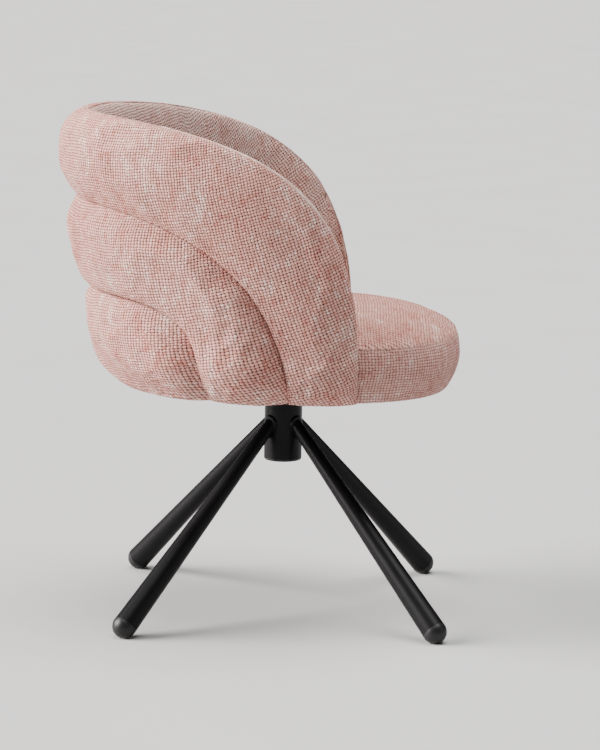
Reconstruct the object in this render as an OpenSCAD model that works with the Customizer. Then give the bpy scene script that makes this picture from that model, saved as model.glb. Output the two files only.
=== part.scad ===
// Upholstered swivel tub chair: four-legged welded base, plain swivel bearing,
// round seat cushion and a padded wrap-round back made of three nested rolls.
// Millimetres. +Z is up, the sitter faces -Y, the floor is Z = 0.

/* [Overall] */
// Floor to the top of the backrest
total_h = 794; // [780:1:810]
// Outside width across the arms
total_w = 568; // [556:1:580]
// Swivel axis to the rearmost point of the backrest
back_reach = 360; // [352:1:368]
// Swivel axis to the front of the seat cushion
front_reach = 277; // [270:1:284]
// Floor to the crown of the seat cushion
seat_h = 480; // [472:1:488]
// Floor to the underside of the upholstery
under_h = 365; // [363:1:367]

/* [Base] */
// Swivel axis to the centre of each foot, in plan
foot_r = 337; // [300:1:360]
// Leg tube diameter at the foot
leg_foot_d = 38; // [32:0.5:42]
// Leg tube diameter where it meets the hub
leg_hub_d = 20; // [16:0.5:24]
// Wall of the leg tubes
leg_wall = 1.5; // [1.2:0.1:2.5]
// Outside diameter of the hub tube
hub_d = 60; // [60:0.5:64]
// Wall of the hub tube
hub_wall = 3; // [3:0.1:4]
// Floor to the lower end of the hub
hub_low_z = 237; // [225:1:238]
// Height at which the legs' centre lines meet the swivel axis
leg_meet_z = 322; // [312:1:326]

/* [Swivel] */
// Diameter of the spindle under the seat
spindle_d = 35; // [33:0.5:36]
// Radial running clearance of the spindle in its bushes
spindle_play = 0.05; // [0.02:0.01:0.1]
// Number of balls in the thrust bearing
ball_count = 16; // [12:1:18]
// Diameter of each ball
ball_d = 6.35; // [5:0.05:6.5]
// Side of the square plate under the seat
plate_side = 180; // [160:1:200]
// Spacing of the plate's bolts
bolt_spacing = 150; // [130:1:160]

/* [Upholstery] */
// Depth of the folds between the rolls, at the back
fold_depth = 17; // [10:1:20]
// Depth of the folds between the rolls, at the arms
arm_fold_depth = 12; // [6:1:15]
// Height of the fold under the top roll, at the back
upper_fold_z = 655; // [650:1:664]
// Height of the fold under the middle roll, at the back
lower_fold_z = 516; // [510:1:524]
// Height of the seam round the top of the seat cushion
seam_z = 448; // [444:1:452]
// Thickness of the cover fabric
fabric_t = 1.5; // [1:0.1:2]
// Thickness of the seat board
board_t = 15; // [12:1:16]

/* [Hidden] */
$fn = 64;

steel_black = [0.07, 0.07, 0.08];
plastic_black = [0.12, 0.12, 0.13];
zinc = [0.72, 0.73, 0.75];
nylon = [0.88, 0.87, 0.82];
birch = [0.80, 0.68, 0.50];
foam_cream = [0.93, 0.89, 0.74];
felt_black = [0.16, 0.16, 0.17];
pink = [0.78, 0.60, 0.57];
pink_inner = [0.74, 0.56, 0.54];

// The swivel axis stands forward of the middle of the footprint
axis_y = (front_reach - back_reach) / 2;

// Small gaps that keep neighbouring solids apart: between sheets, and beside the frame
gap = 0.3;
frame_gap = 2;

// ---------- base ----------
hub_r = hub_d / 2;
hub_bore_r = hub_r - hub_wall;
end_cap_t = 4;
hub_tube_low_z = hub_low_z + end_cap_t;
plate_t = 4;
plate_low_z = under_h - plate_t;
collar_t = 3;
hub_top_z = plate_low_z - collar_t;

foot_ball_r = leg_foot_d / 2;
foot_z = foot_ball_r - 2;
leg_rise = leg_meet_z - foot_z;
leg_tilt = atan(leg_rise / foot_r);
leg_len = sqrt(pow(foot_r, 2) + pow(leg_rise, 2));
leg_hub_len = leg_len * (foot_r - hub_r) / foot_r;
// Radius lost per millimetre of leg
leg_taper = (leg_foot_d - leg_hub_d) / 2 / leg_hub_len;
cap_collar = 2.6;
cap_seam = 0.4;
cap_spigot = 18;
weld_size = 3;

// ---------- swivel ----------
spindle_r = spindle_d / 2;
bush_bore_r = spindle_r + spindle_play;
race_t = 4;
ball_gap = 4;
ball_r = ball_d / 2;
ball_play = 0.05;
race_r = hub_bore_r - 1;
upper_race_z = hub_top_z - race_t;
lower_race_z = upper_race_z - ball_gap - race_t;
ball_z = upper_race_z - ball_gap / 2;
ball_pitch_r = (race_r + spindle_r) / 2;
upper_bush_len = 30;
lower_bush_len = 28;
spindle_low_z = hub_tube_low_z + 15;
lift_play = 0.4;
washer_t = 4;
retainer_r = 5;
bolt_r = 4;
bolt_at = [-1, 1] * bolt_spacing / 2;

// ---------- seat ----------
board_low_z = under_h + 1;
board_top_z = board_low_z + board_t;
dust_t = 0.8;
// The seat cushion's plan: a rounded outline about a point ahead of the axis
seat_fwd = 32;
seat_half_l = front_reach - seat_fwd;
seat_half_w = 242;
seat_square = 2.35;
seat_steps = 48;

// ---------- back ----------
// The wall's plan is an ellipse about a point behind the axis
wall_y = 20;
wall_back = back_reach - wall_y;
wall_side = total_w / 2;
wall_front = 300;
arm_flare = 0.5;
inner_side = 246;
inner_side_top = 242;
inner_back_low = 193;
inner_back_top = 262;
crest_z = total_h - 69;
lean_k = 0.0106;
lean_power = 1.5;
lean_end_z = 471;
// The bottom edge of the wall rounds under with these radii, from these heights down
tuck_side_r = 80;
tuck_side_top = under_h + 72;
tuck_back_r = 125;
tuck_back_top = under_h + 106;
hug_z = 430;
hug_low = 0.55;
frame_share = 0.6;
frame_t = 6;
frame_edge = 30;

// Each nested curve: half-angle at the bottom, height at the back, and two powers
// that square its shoulders. The order is rim, upper fold, lower fold.
CURVES = [
    [116, total_h, 3.6, 3.0],
    [95, upper_fold_z + 3, 3.6, 1.8],
    [67, lower_fold_z, 6.4, 2.8]
];
FRAME_CURVE = [111, total_h - frame_edge, 3.6, 3.0];
bottom_half_angle = 45;
wall_steps = 32;
roll_steps = 44;
roll_rows = 7;
// Above 1, a roll's sections stand closer together towards its two feet
roll_crowding = 1.6;
fold_gap = 0.004;
// Least thickness of padding and cover together, at the rim
least_padding = fabric_t + 2 * gap;

// ---------- mathematics ----------
function mix(a, b, t) = a + (b - a) * t;
function clamp(t) = min(1, max(0, t));
function unit(v) = v / norm(v);

// How far the wall's outline draws in below the crest of the top roll
function lean(z) = lean_k * pow(max(0, crest_z - max(z, lean_end_z)), lean_power);

// 1 at the back, 0 at the arms
function back_share(th) = abs(th) < 90 ? pow(cos(th), 2) : 0;

function tuck_r(th) = mix(tuck_side_r, tuck_back_r, back_share(th));
function tuck_top(th) = mix(tuck_side_top, tuck_back_top, back_share(th));

// How far the bottom edge rounds under at height z
function tuck(th, z) =
    let (r = tuck_r(th), drop = min(r, max(0, tuck_top(th) - z)))
    r - sqrt(r * r - drop * drop);

// A point of an outline with half-length a towards the back and half-width b
function plan(th, a, b, z) =
    let (side = abs(th) < 90 ? sin(abs(th)) : 1 - (1 - sin(abs(th))) * arm_flare)
    [sign(th) * b * side, wall_y + (abs(th) < 90 ? a : wall_front) * cos(th), z];

// Outer face of the wall, pushed out by bulge, a share of the fold depth
function outer(th, z, bulge = 0) =
    let (depth = mix(arm_fold_depth, fold_depth, back_share(th)), out = (bulge - 1) * depth)
    plan(th, wall_back + out - lean(z) - tuck(th, z),
         wall_side + out - tuck(th, z), z);

function inner_free(th, z) =
    let (t = clamp((z - seam_z) / (crest_z + 35 - seam_z)))
    plan(th, mix(inner_back_low, inner_back_top, t), mix(inner_side, inner_side_top, t), z);

// Inner face of the wall: it follows the outer face where that rounds under
function inner(th, z) = z > hug_z
    ? inner_free(th, z)
    : let (low = clamp((z - under_h) / (hug_z - under_h)),
           thick = inner_free(th, hug_z) - outer(th, hug_z))
      outer(th, z) + [thick.x, thick.y, 0] * mix(hug_low, 1, low);

function frame_out(th, z) = mix(inner(th, z), outer(th, z), frame_share);

// Outward normal of a surface given as a function of angle and height
function normal(skin, th, z) =
    let (a = skin(th + 1, z) - skin(th - 1, z), b = skin(th, z + 1) - skin(th, z - 1))
    unit(cross(a, b)) * -1;

function frame_normal(th, z) = normal(function(a, h) frame_out(a, h), th, z);
function frame_in(th, z, t) = frame_out(th, z) - t * frame_normal(th, z);

// The point level with the frame's outer face that stands d clear of it
function frame_clear(th, z, d) =
    let (n = frame_normal(th, z))
    frame_out(th, z) + [n.x, n.y, 0] * d / (n.x * n.x + n.y * n.y);

// A rectangle bent into the region under one nested curve: u = -1..1, v = 0..1
function under_curve(c, u, v) =
    let (p = c[2], q = c[3])
    [c[0] * u * pow(1 - pow(v, q) / 2, 1 / p),
     board_low_z + (c[1] - board_low_z) * v * pow(1 - pow(abs(u), p) / 2, 1 / q)];

// A point along one nested curve: s = -2 at its left foot, 0 at the back, 2 at its right foot
function on_curve(c, s) = abs(s) <= 1 ? under_curve(c, s, 1) : under_curve(c, sign(s), 2 - abs(s));

// Closeness to the rim: 0 well inside, 1 on it
function rim_share(th, z) =
    let (c = CURVES[0], x = abs(th) / c[0], y = (z - board_low_z) / (c[1] - board_low_z))
    clamp((pow(pow(x, c[2]) + pow(max(0, y), c[3]), 0.3) - 0.84) / 0.16);
function rim_round(th, z) = max(0.08, sqrt(1 - pow(rim_share(th, z), 2)));

// ---------- lofted solids ----------
// A closed solid between two grids of the same size; each grid is a list of rows
module slab(front, back) {
    rows = len(front);
    cols = len(front[0]);
    count = rows * cols;
    function at(i, j, side) = side * count + i * cols + j;
    points = [for (grid = [front, back]) for (row = grid) for (p = row) p];
    skins = [for (i = [0:rows - 2]) for (j = [0:cols - 2]) each [
        [at(i, j, 0), at(i, j + 1, 0), at(i + 1, j + 1, 0)],
        [at(i, j, 0), at(i + 1, j + 1, 0), at(i + 1, j, 0)],
        [at(i, j, 1), at(i + 1, j + 1, 1), at(i, j + 1, 1)],
        [at(i, j, 1), at(i + 1, j, 1), at(i + 1, j + 1, 1)]
    ]];
    ends = [for (i = [0:rows - 2]) each [
        [at(i, 0, 0), at(i + 1, 0, 0), at(i + 1, 0, 1)],
        [at(i, 0, 0), at(i + 1, 0, 1), at(i, 0, 1)],
        [at(i, cols - 1, 0), at(i + 1, cols - 1, 1), at(i + 1, cols - 1, 0)],
        [at(i, cols - 1, 0), at(i, cols - 1, 1), at(i + 1, cols - 1, 1)]
    ]];
    edges = [for (j = [0:cols - 2]) each [
        [at(0, j, 0), at(0, j + 1, 1), at(0, j + 1, 0)],
        [at(0, j, 0), at(0, j, 1), at(0, j + 1, 1)],
        [at(rows - 1, j, 0), at(rows - 1, j + 1, 0), at(rows - 1, j + 1, 1)],
        [at(rows - 1, j, 0), at(rows - 1, j + 1, 1), at(rows - 1, j, 1)]
    ]];
    polyhedron(points, concat(skins, ends, edges), convexity = 8);
}

// A closed solid from a stack of rings that ends in a point at each end; the last point
// of each ring repeats its first
module ring_stack(rings, low, high) {
    n = len(rings[0]) - 1;
    last = len(rings) - 1;
    points = concat([low], [for (ring = rings) for (j = [0:n - 1]) ring[j]], [high]);
    function at(i, j) = 1 + i * n + j % n;
    top = 1 + n * len(rings);
    caps = [for (j = [0:n - 1]) each [[0, at(0, j), at(0, j + 1)], [top, at(last, j + 1), at(last, j)]]];
    walls = [for (i = [0:last - 1]) for (j = [0:n - 1]) each [
        [at(i, j), at(i + 1, j), at(i + 1, j + 1)],
        [at(i, j), at(i + 1, j + 1), at(i, j + 1)]
    ]];
    polyhedron(points, concat(caps, walls), convexity = 6);
}

module on_axis() {
    translate([0, axis_y, 0]) children();
}

module ring(r_out, r_in, z, h) {
    translate([0, 0, z]) difference() {
        cylinder(h = h, r = r_out);
        translate([0, 0, -1]) cylinder(h = h + 2, r = r_in);
    }
}

// ---------- base parts ----------
module hub_tube() {
    color(steel_black) on_axis() ring(hub_r, hub_bore_r, hub_tube_low_z, hub_top_z - hub_tube_low_z);
}

// Stands what is drawn along +Z on a foot, pointing up the leg's centre line
module along_leg(turn) {
    on_axis() rotate([0, 0, turn]) translate([foot_r, 0, foot_z]) rotate([0, leg_tilt - 90, 0]) children();
}

function leg_r(s) = foot_ball_r - leg_taper * s;

module leg(turn) {
    start = cap_collar + cap_seam;
    run = leg_len - start;
    color(steel_black) difference() {
        along_leg(turn) difference() {
            translate([0, 0, start]) cylinder(h = run, r1 = leg_r(start), r2 = leg_r(leg_len));
            translate([0, 0, start - 1])
                cylinder(h = run + 2, r1 = leg_r(start - 1) - leg_wall, r2 = leg_r(leg_len + 1) - leg_wall);
        }
        on_axis() translate([0, 0, hub_low_z]) cylinder(h = hub_top_z, r = hub_r);
    }
}

module leg_front_left() { leg(225); }
module leg_front_right() { leg(315); }
module leg_rear_left() { leg(135); }
module leg_rear_right() { leg(45); }

module weld_beads() {
    color(steel_black) for (turn = [45:90:315]) difference() {
        intersection() {
            along_leg(turn) cylinder(h = leg_len, r1 = leg_r(0) + weld_size, r2 = leg_r(leg_len) + weld_size);
            on_axis() translate([0, 0, hub_low_z]) cylinder(h = hub_top_z - hub_low_z, r = hub_r + weld_size);
        }
        along_leg(turn) cylinder(h = leg_len, r1 = leg_r(0), r2 = leg_r(leg_len));
        on_axis() translate([0, 0, hub_low_z - 1]) cylinder(h = hub_top_z, r = hub_r);
    }
}

// Domed cap with a spigot pressed into the tube and a flat to stand on
module foot_cap(turn) {
    spigot_r = leg_r(cap_spigot) - leg_wall - 0.1;
    color(plastic_black) difference() {
        along_leg(turn) union() {
            difference() {
                sphere(r = foot_ball_r);
                cylinder(h = foot_ball_r + 1, r = foot_ball_r + 1);
            }
            cylinder(h = cap_collar, r = foot_ball_r);
            cylinder(h = cap_spigot, r = spigot_r);
        }
        on_axis() rotate([0, 0, turn]) translate([foot_r, 0, -foot_ball_r])
            cylinder(h = foot_ball_r, r = 2 * foot_ball_r);
    }
}

module foot_cap_front_left() { foot_cap(225); }
module foot_cap_front_right() { foot_cap(315); }
module foot_cap_rear_left() { foot_cap(135); }
module foot_cap_rear_right() { foot_cap(45); }

// Plug for the hub's lower end, rounded at its visible edge
module hub_end_cap() {
    edge_r = 3;
    spigot_h = 3;
    color(plastic_black) on_axis() {
        rotate_extrude() {
            translate([0, hub_low_z]) square([hub_r - edge_r, end_cap_t]);
            translate([0, hub_low_z + edge_r]) square([hub_r, end_cap_t - edge_r]);
            intersection() {
                translate([hub_r - edge_r, hub_low_z + edge_r]) circle(r = edge_r);
                translate([hub_r - edge_r, hub_low_z]) square([edge_r, edge_r]);
            }
        }
        ring(hub_bore_r, hub_bore_r - 2, hub_tube_low_z, spigot_h);
    }
}

// ---------- swivel parts ----------
module lower_bush() {
    color(nylon) on_axis() ring(hub_bore_r, bush_bore_r, spindle_low_z + lift_play, lower_bush_len);
}

module upper_bush() {
    color(nylon) on_axis() ring(hub_bore_r, bush_bore_r, lower_race_z - upper_bush_len, upper_bush_len);
}

// A washer-like race with a groove for the balls
module race(z, bore_r) {
    color(zinc) on_axis() difference() {
        ring(race_r, bore_r, z, race_t);
        translate([0, 0, ball_z]) rotate_extrude() translate([ball_pitch_r, 0]) circle(r = ball_r + ball_play);
    }
}

module bearing_lower_race() { race(lower_race_z, spindle_r + 0.4); }
module bearing_upper_race() { race(upper_race_z, bush_bore_r); }

module bearing_cage() {
    cage_t = 2.4;
    color(nylon) on_axis() difference() {
        ring(race_r - gap, spindle_r + gap, ball_z - cage_t / 2, cage_t);
        for (i = [0:ball_count - 1]) rotate([0, 0, i * 360 / ball_count])
            translate([ball_pitch_r, 0, ball_z - cage_t]) cylinder(h = 2 * cage_t, r = ball_r + 2 * ball_play);
    }
}

module bearing_balls() {
    color(zinc) on_axis() for (i = [0:ball_count - 1]) rotate([0, 0, i * 360 / ball_count])
        translate([ball_pitch_r, 0, ball_z]) sphere(r = ball_r, $fn = 24);
}

// The spindle hangs from the plate and turns in the two bushes
module spindle() {
    thread_depth = 26;
    color(zinc) on_axis() difference() {
        union() {
            translate([0, 0, spindle_low_z]) cylinder(h = plate_low_z - spindle_low_z, r = spindle_r);
            translate([0, 0, hub_top_z]) cylinder(h = collar_t, r = hub_bore_r - 2);
        }
        translate([0, 0, spindle_low_z - 1]) cylinder(h = thread_depth + 1, r = retainer_r + 0.1);
    }
}

module spindle_washer() {
    color(zinc) on_axis() ring(hub_bore_r - 3, retainer_r + 0.2, spindle_low_z - washer_t, washer_t);
}

module hex_head(across_corners, h) {
    cylinder(h = h, d = across_corners, $fn = 6);
}

module spindle_bolt() {
    head_t = 6.4;
    thread_len = 24;
    color(zinc) on_axis() translate([0, 0, spindle_low_z - washer_t]) {
        translate([0, 0, -head_t]) hex_head(19.6, head_t);
        cylinder(h = washer_t + thread_len, r = retainer_r);
    }
}

module swivel_plate() {
    corner_r = 16;
    reach = plate_side / 2 - corner_r;
    color(steel_black) on_axis() translate([0, 0, plate_low_z]) linear_extrude(plate_t) difference() {
        union() {
            square([plate_side, 2 * reach], center = true);
            square([2 * reach, plate_side], center = true);
            for (x = [-reach, reach]) for (y = [-reach, reach]) translate([x, y]) circle(r = corner_r);
        }
        for (x = bolt_at) for (y = bolt_at) translate([x, y]) circle(r = bolt_r + 0.5);
    }
}

module at_bolts() {
    on_axis() for (x = bolt_at) for (y = bolt_at) translate([x, y, 0]) children();
}

module plate_bolts() {
    head_t = 5.3;
    flange_t = 1.5;
    color(zinc) at_bolts() {
        translate([0, 0, plate_low_z - head_t]) hex_head(15, head_t);
        translate([0, 0, plate_low_z - flange_t]) cylinder(h = flange_t, r = 9);
        translate([0, 0, plate_low_z]) cylinder(h = board_top_z - plate_low_z, r = bolt_r);
    }
}

// Barrel in the board from above, flange on the board's top
module tee_nuts() {
    barrel_len = 11;
    color(zinc) at_bolts() {
        ring(bolt_r + 1.4, bolt_r + 0.05, board_top_z - barrel_len, barrel_len);
        ring(11, bolt_r + 0.05, board_top_z, 1.5);
    }
}

// ---------- seat ----------
// 1 where the arms cover the cushion, 0 at its open front
function covered(az) = let (front = abs(((az + 90 + 540) % 360) - 180)) clamp((front - 48) / 30);

// Point of the cushion's outline at azimuth az, drawn in by inset, at height z
function seat_point(az, inset, z) =
    let (c = cos(az), s = sin(az),
         r = 1 / pow(pow(abs(c) / seat_half_w, seat_square) + pow(abs(s) / seat_half_l, seat_square),
                     1 / seat_square))
    [c * (r - inset), s * (r - inset) - seat_fwd, z];

// One level of the boxing, drawn in by inset
function boxing_ring(row, inset) = [for (k = [0:seat_steps]) let (az = k * 360 / seat_steps, hidden = covered(az))
    seat_point(az, mix(row[1], row[3], hidden) + inset, min(mix(row[0], row[2], hidden), seam_z - gap))];

// Crown of the top panel: height above the seam by how far inside the outline a point is
crown_h = seat_h - fabric_t - seam_z;
function crown_z(share) = seam_z + crown_h * pow(1 - pow(share, 2.6), 0.62);

// Boxing profile, bottom to top: height and inset at the open front, then both under the
// arms, where the cushion stands on the board instead of wrapping over its edge
BOXING = [
    [board_low_z, 20, board_top_z + 3.5, 20],
    [under_h + 8, 13, board_top_z + 6, 18],
    [under_h + 21, 5, board_top_z + 11, 15],
    [under_h + 37, 1, under_h + 37, 10],
    [under_h + 61, 0, under_h + 61, 5],
    [seam_z - 10, 2, seam_z - 10, 5],
    [seam_z, 4, seam_z, 6]
];
CROWN_SHARES = [0.97, 0.9, 0.78, 0.6, 0.35];

// Board outline: inside the frame at the back, inside the cushion at the front
board_gap = 1;
board_half_angle = 112;
function board_edge(th) = let (p = frame_in(th, board_low_z, frame_t)) [p.x, p.y] - board_gap * unit([p.x, p.y]);
BOARD_EDGE = [for (k = [0:wall_steps]) board_edge(mix(-board_half_angle, board_half_angle, k / wall_steps))];
BOARD_FRONT = [for (az = [330:-10:210]) let (p = seat_point(az, 22, 0)) [p.x, p.y]];

module board_outline(inset = 0) {
    shrink = 1 - inset / seat_half_l;
    scale(shrink) polygon(concat(BOARD_EDGE, BOARD_FRONT));
}

module seat_board() {
    color(birch) on_axis() difference() {
        translate([0, 0, board_low_z]) linear_extrude(board_t) board_outline();
        for (x = bolt_at) for (y = bolt_at) translate([x, y, board_low_z - 1])
            cylinder(h = board_t + 2, r = bolt_r + 1.5);
    }
}

module dust_cover() {
    color(felt_black) on_axis() difference() {
        translate([0, 0, under_h]) linear_extrude(dust_t) board_outline(12);
        for (x = bolt_at) for (y = bolt_at) translate([x, y, under_h - 1]) cylinder(h = 3, r = bolt_r + 2);
    }
}

// Staples that hold the dust cover, just inside its edge
module staples() {
    staple_count = 28;
    edge = concat(BOARD_EDGE, BOARD_FRONT);
    color(zinc) on_axis() for (k = [0:staple_count - 1]) {
        p = edge[round(k * (len(edge) - 1) / staple_count)] * 0.9;
        translate([p.x, p.y, under_h - 0.3]) rotate([0, 0, atan2(p.y, p.x) + 90]) cube([10, 1.2, 0.6], center = true);
    }
}

module seat_foam() {
    skin = fabric_t + gap;
    foam_low_z = board_top_z + 2;
    base = [for (row = BOXING) if (row[0] > foam_low_z) boxing_ring(row, skin)];
    floor_ring = boxing_ring([foam_low_z, 7, foam_low_z, 23], skin);
    crown = [for (share = CROWN_SHARES) [for (k = [0:seat_steps]) let (az = k * 360 / seat_steps,
        rim = seat_point(az, mix(4, 6, covered(az)) + skin, 0))
        [rim.x * share, (rim.y + seat_fwd) * share - seat_fwd, crown_z(share) - gap]]];
    color(foam_cream) on_axis() ring_stack(concat([floor_ring], base, crown),
        [0, -seat_fwd, foam_low_z], [0, -seat_fwd, crown_z(0) - gap]);
}

// The fabric top panel: a crowned sheet that ends at the seam
module seat_cover_top() {
    shares = concat([1], CROWN_SHARES, [0.12]);
    function sheet(lift) = [for (share = shares) [for (k = [0:seat_steps]) let (az = k * 360 / seat_steps,
        rim = seat_point(az, mix(4, 6, covered(az)), 0), out = share * (1 - (fabric_t - lift) / seat_half_l))
        [rim.x * out, (rim.y + seat_fwd) * out - seat_fwd, crown_z(share) + lift]]];
    color(pink) on_axis() closed_sheet(sheet(fabric_t), sheet(0));
}

// The fabric wall of the cushion, from under the board up to the seam
module seat_cover_boxing() {
    color(pink) on_axis() closed_sheet(
        [for (row = BOXING) boxing_ring(row, 0)],
        [for (row = BOXING) boxing_ring(row, fabric_t)]);
}

// A closed solid between two tube-like grids whose first and last columns coincide
module closed_sheet(front, back) {
    rows = len(front);
    n = len(front[0]) - 1;
    function at(i, j, side) = side * rows * n + i * n + j % n;
    points = [for (grid = [front, back]) for (row = grid) for (j = [0:n - 1]) row[j]];
    skins = [for (i = [0:rows - 2]) for (j = [0:n - 1]) each [
        [at(i, j, 0), at(i + 1, j, 0), at(i + 1, j + 1, 0)],
        [at(i, j, 0), at(i + 1, j + 1, 0), at(i, j + 1, 0)],
        [at(i, j, 1), at(i + 1, j + 1, 1), at(i + 1, j, 1)],
        [at(i, j, 1), at(i, j + 1, 1), at(i + 1, j + 1, 1)]
    ]];
    edges = [for (j = [0:n - 1]) each [
        [at(0, j, 0), at(0, j + 1, 0), at(0, j + 1, 1)],
        [at(0, j, 0), at(0, j + 1, 1), at(0, j, 1)],
        [at(rows - 1, j, 0), at(rows - 1, j + 1, 1), at(rows - 1, j + 1, 0)],
        [at(rows - 1, j, 0), at(rows - 1, j, 1), at(rows - 1, j + 1, 1)]
    ]];
    polyhedron(points, concat(skins, edges), convexity = 8);
}

// ---------- back ----------
U_STEPS = [for (k = [0:wall_steps]) sin(mix(-90, 90, k / wall_steps))];
V_STEPS = [0, 0.013, 0.04, 0.08, 0.13, 0.2, 0.34, 0.52, 0.7, 0.86, 0.95, 1];

// A grid over the region under one nested curve; at(th, z) gives each point, and the
// rows below low_z are spread evenly just above it
function region_grid(c, at, low_z = board_low_z) = [for (v = V_STEPS) [for (u = U_STEPS)
    let (d = under_curve(c, u, v), share = (d[1] - board_low_z) / (c[1] - board_low_z))
    at(d[0], mix(low_z, c[1], share))]];
// The inner padding starts above the board
pad_low_z = board_top_z + 3;

// The rigid shell that carries the back's padding
module back_frame() {
    color(birch) on_axis() slab(
        region_grid(FRAME_CURVE, function(th, z) frame_out(th, z)),
        region_grid(FRAME_CURVE, function(th, z) frame_in(th, z, frame_t)));
}

// Countersunk screws through the frame's foot into the board's edge
module frame_screws() {
    screw_z = board_low_z + 7;
    head_depth = 6.5;
    color(zinc) on_axis() for (th = [-96:32:96]) {
        head = frame_out(th, screw_z);
        tip = board_edge(th);
        turn = atan2(head.y - tip.y * 0.9, head.x - tip.x * 0.9);
        translate([head.x, head.y, screw_z]) rotate([0, 0, turn]) rotate([0, -90, 0]) translate([0, 0, head_depth]) {
            cylinder(h = 3, r1 = 4, r2 = 2);
            cylinder(h = 26, r = 2);
        }
    }
}

// A grid between two nested curves; at(th, z, w) gives each point, w = 0 on the lower curve
function band_grid(low, high, shares, at) = [for (w = shares) [for (k = [0:roll_steps])
    let (t = mix(-1, 1, k / roll_steps), s = sign(t) * 2 * (1 - pow(1 - abs(t), roll_crowding)),
        a = low(s), b = on_curve(high, s), d = mix(a, b, w))
    at(d[0], d[1], w)]];

// Padding strip that fills the space between the frame's edge and the rim
module edge_strip() {
    low = function(s) on_curve(FRAME_CURVE, s) + [sign(s) * 0.3, 1];
    shares = [0.02, 0.5, 0.97];
    color(foam_cream) on_axis() slab(
        band_grid(low, CURVES[0], shares, function(th, z, w) frame_in(th, z, 0)),
        band_grid(low, CURVES[0], shares, function(th, z, w) frame_in(th, z, frame_t)));
}

// Surface of the inner padding, drawn back from the inner face by depth
function inner_face(th, z, depth) =
    let (root = frame_in(th, z, frame_t + frame_gap), full = inner(th, root.z) - root)
    root + unit(full) * (max(least_padding, norm(full) * rim_round(th, z)) - depth);

module inner_pad() {
    color(foam_cream) on_axis() slab(
        region_grid(CURVES[0], function(th, z) frame_in(th, z, frame_t + frame_gap), pad_low_z),
        region_grid(CURVES[0], function(th, z) inner_face(th, z, fabric_t + gap), pad_low_z));
}

module inner_cover() {
    color(pink_inner) on_axis() slab(
        region_grid(CURVES[0], function(th, z) inner_face(th, z, fabric_t), pad_low_z),
        region_grid(CURVES[0], function(th, z) inner_face(th, z, 0), pad_low_z));
}

// Fullness of a roll across its width: 0 at a fold, 1 at its crest
function fold_rise(t) = pow(1 - pow(1 - clamp(t), 2.6), 0.8);
function roll_bulge(index, w) =
    index == 0 ? fold_rise(w / 0.49)
    : index == 1 ? min(fold_rise(w / 0.5), fold_rise((1 - w) / 0.5))
    : fold_rise((1 - w) / 0.4);
// The top roll rounds over the rim
function roll_round(index, w) =
    index > 0 || w < 0.49 ? 1 : sqrt(max(0.006, 1 - pow((w - 0.49) / 0.51, 2)));

function roll_low(index) = index < 2
    ? function(s) on_curve(CURVES[index + 1], s)
    : function(s) [bottom_half_angle * s / 2, board_low_z];

ROLL_SHARES = [for (k = [0:roll_rows]) mix(fold_gap, 1 - fold_gap, (1 - cos(180 * k / roll_rows)) / 2)];
TOP_SHARES = [for (k = [0:roll_rows]) mix(fold_gap, 1, sin(90 * k / roll_rows))];
function roll_shares(index) = index == 0 ? TOP_SHARES : ROLL_SHARES;

// Outer surface of a roll, drawn back by depth from its full size
function roll_face(index, th, z, w, depth) =
    let (root = frame_clear(th, z, frame_gap), full = outer(th, z, roll_bulge(index, w)) - root)
    root + unit(full) * (max(least_padding, norm(full) * roll_round(index, w)) - depth);

module roll_slab(index, depth_out, depth_in) {
    slab(
        band_grid(roll_low(index), CURVES[index], roll_shares(index),
            function(th, z, w) roll_face(index, th, z, w, depth_out)),
        band_grid(roll_low(index), CURVES[index], roll_shares(index),
            function(th, z, w) depth_in < 0 ? frame_clear(th, z, frame_gap) : roll_face(index, th, z, w, depth_in)));
}

module roll_foam(index) {
    color(foam_cream) on_axis() roll_slab(index, fabric_t + gap, -1);
}
module roll_cover(index) {
    color(pink) on_axis() roll_slab(index, 0, fabric_t);
}

module top_roll_foam() { roll_foam(0); }
module middle_roll_foam() { roll_foam(1); }
module bottom_roll_foam() { roll_foam(2); }
module top_roll_cover() { roll_cover(0); }
module middle_roll_cover() { roll_cover(1); }
module bottom_roll_cover() { roll_cover(2); }

hub_tube();
leg_front_left();
leg_front_right();
leg_rear_left();
leg_rear_right();
weld_beads();
foot_cap_front_left();
foot_cap_front_right();
foot_cap_rear_left();
foot_cap_rear_right();
hub_end_cap();
lower_bush();
upper_bush();
bearing_lower_race();
bearing_cage();
bearing_balls();
bearing_upper_race();
spindle();
spindle_washer();
spindle_bolt();
swivel_plate();
plate_bolts();
tee_nuts();
seat_board();
dust_cover();
staples();
seat_foam();
seat_cover_top();
seat_cover_boxing();
back_frame();
frame_screws();
edge_strip();
inner_pad();
inner_cover();
top_roll_foam();
middle_roll_foam();
bottom_roll_foam();
top_roll_cover();
middle_roll_cover();
bottom_roll_cover();
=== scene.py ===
import math

import bmesh
import bpy
import numpy as np
from mathutils import Matrix, Vector, noise


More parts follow.
